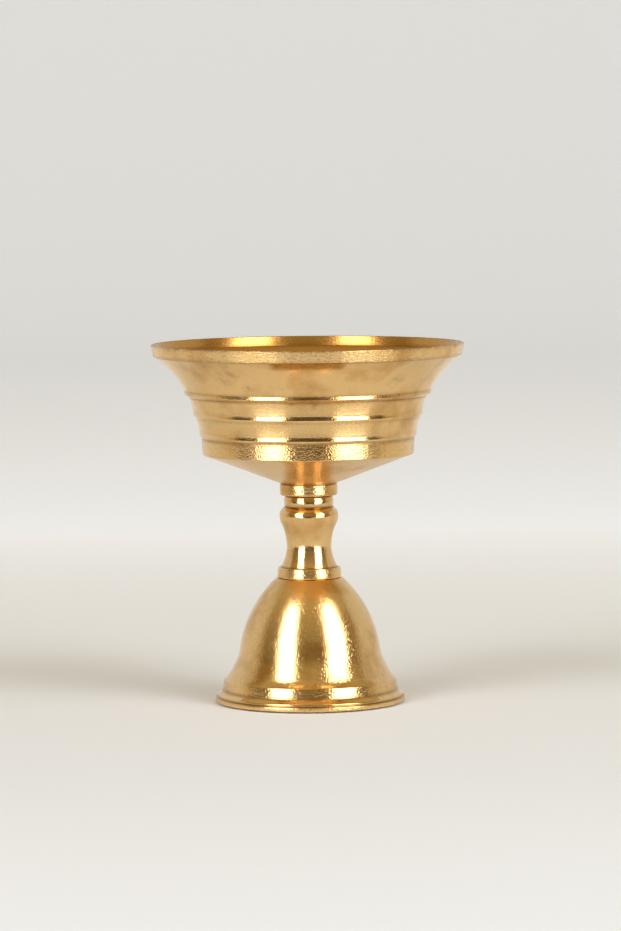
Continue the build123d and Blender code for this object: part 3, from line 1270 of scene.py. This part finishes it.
# Light: two tall soft boxes beyond the table's front edge, left and right, and a dim room
room_radius = 3.0
room_light = (0.285, 0.235, 0.14)
room_ceiling = (0.55, 0.45, 0.245)
room_floor = (0.08, 0.06, 0.032)
soft_boxes = {
    "left_box": {"azimuth": -41.5, "width": 0.325, "lean": -6.0, "glow": 5.5},
    "right_box": {"azimuth": 48.0, "width": 0.385, "lean": 6.0, "glow": 5.5},
}
box_distance = 0.65
box_bottom = -0.14
box_top = 0.95


def soft_box(name, azimuth, width, lean, glow):
    """Rectangular lamp that faces the brass from an azimuth, counted from the camera's side.

    It leans aside by some degrees about its middle, so that its top stands further out. Glow is its radiance.
    """
    height = box_top - box_bottom
    lamp = bpy.data.lights.new(name, "AREA")
    lamp.shape = "RECTANGLE"
    lamp.size, lamp.size_y = width, height
    lamp.energy = glow * math.pi * width * height
    box = bpy.data.objects.new(name, lamp)
    turn = math.radians(azimuth)
    away = Vector((math.sin(turn), -math.cos(turn), 0))
    box.location = away * box_distance + Vector((0, 0, (box_top + box_bottom) / 2))
    upright = (-away).to_track_quat("-Z", "Y").to_matrix()
    box.rotation_euler = (upright @ Matrix.Rotation(math.radians(-lean), 3, "Z")).to_euler()
    box.visible_camera = False
    bpy.context.scene.collection.objects.link(box)


for box_name, box_sizes in soft_boxes.items():
    soft_box(box_name, **box_sizes)


def room_material():
    """Dull walls that give off a dim warm light above the table's level and less below it."""
    horizon_low, horizon_high = -0.06 * room_radius, 0.10 * room_radius
    ceiling_low, ceiling_high = 0.3 * room_radius, 0.9 * room_radius
    material, tree, shader = new_material("dim_room")
    height = place_along(tree, "Z")
    above = span(tree, height, horizon_low, horizon_high, 0.0, 1.0)
    overhead = span(tree, height, ceiling_low, ceiling_high, 0.0, 1.0)
    wall = blend_colours(tree, overhead, room_light, room_ceiling)
    tree.links.new(blend_colours(tree, above, room_floor, wall), shader.inputs["Emission Color"])
    shader.inputs["Emission Strength"].default_value = 1.0
    shader.inputs["Base Color"].default_value = (0, 0, 0, 1)
    shader.inputs["Specular IOR Level"].default_value = 0.0
    return material


def dim_room(rows=25):
    """Ball of room_radius round the studio: the brass mirrors it, and the camera sees the world past it."""
    tilt = np.linspace(-math.pi / 2, math.pi / 2, rows)[:, None]
    reach, level = room_radius / MM * np.cos(tilt), room_radius / MM * np.sin(tilt)
    room = skin("dim_room", round_axis(reach, once_round(room_segments), level), room_material())
    room.visible_camera = False
    world = bpy.data.worlds.new("pale_world")
    world.use_nodes = True
    world.node_tree.nodes["Background"].inputs["Color"].default_value = (*world_light, 1)
    bpy.context.scene.world = world


dim_room()

# Camera: at the photograph's distance, height and slight roll
picture_height = 931
pixels_per_radian = 4103.0
camera_distance = 0.800
camera_height = 0.1103
camera_pitch = math.radians(4.57)
camera_roll = math.radians(-0.5)
axis_offset = 2.1


def make_camera():
    """Long-lens camera along +Y and a little down; the lamp's axis is axis_offset pixels left of centre."""
    lens = bpy.data.cameras.new("camera")
    lens.sensor_width = 36.0
    lens.lens = lens.sensor_width * pixels_per_radian / picture_height
    lens.clip_start, lens.clip_end = 0.01, 20.0
    camera = bpy.data.objects.new("camera", lens)
    turn = (
        Matrix.Rotation(-axis_offset / pixels_per_radian, 4, "Z")
        @ Matrix.Rotation(math.pi / 2 - camera_pitch, 4, "X")
        @ Matrix.Rotation(camera_roll, 4, "Z")
    )
    camera.matrix_world = Matrix.Translation((0, -camera_distance, camera_height)) @ turn
    bpy.context.scene.collection.objects.link(camera)
    bpy.context.scene.camera = camera


make_camera()
bpy.context.scene.view_settings.view_transform = "Standard"
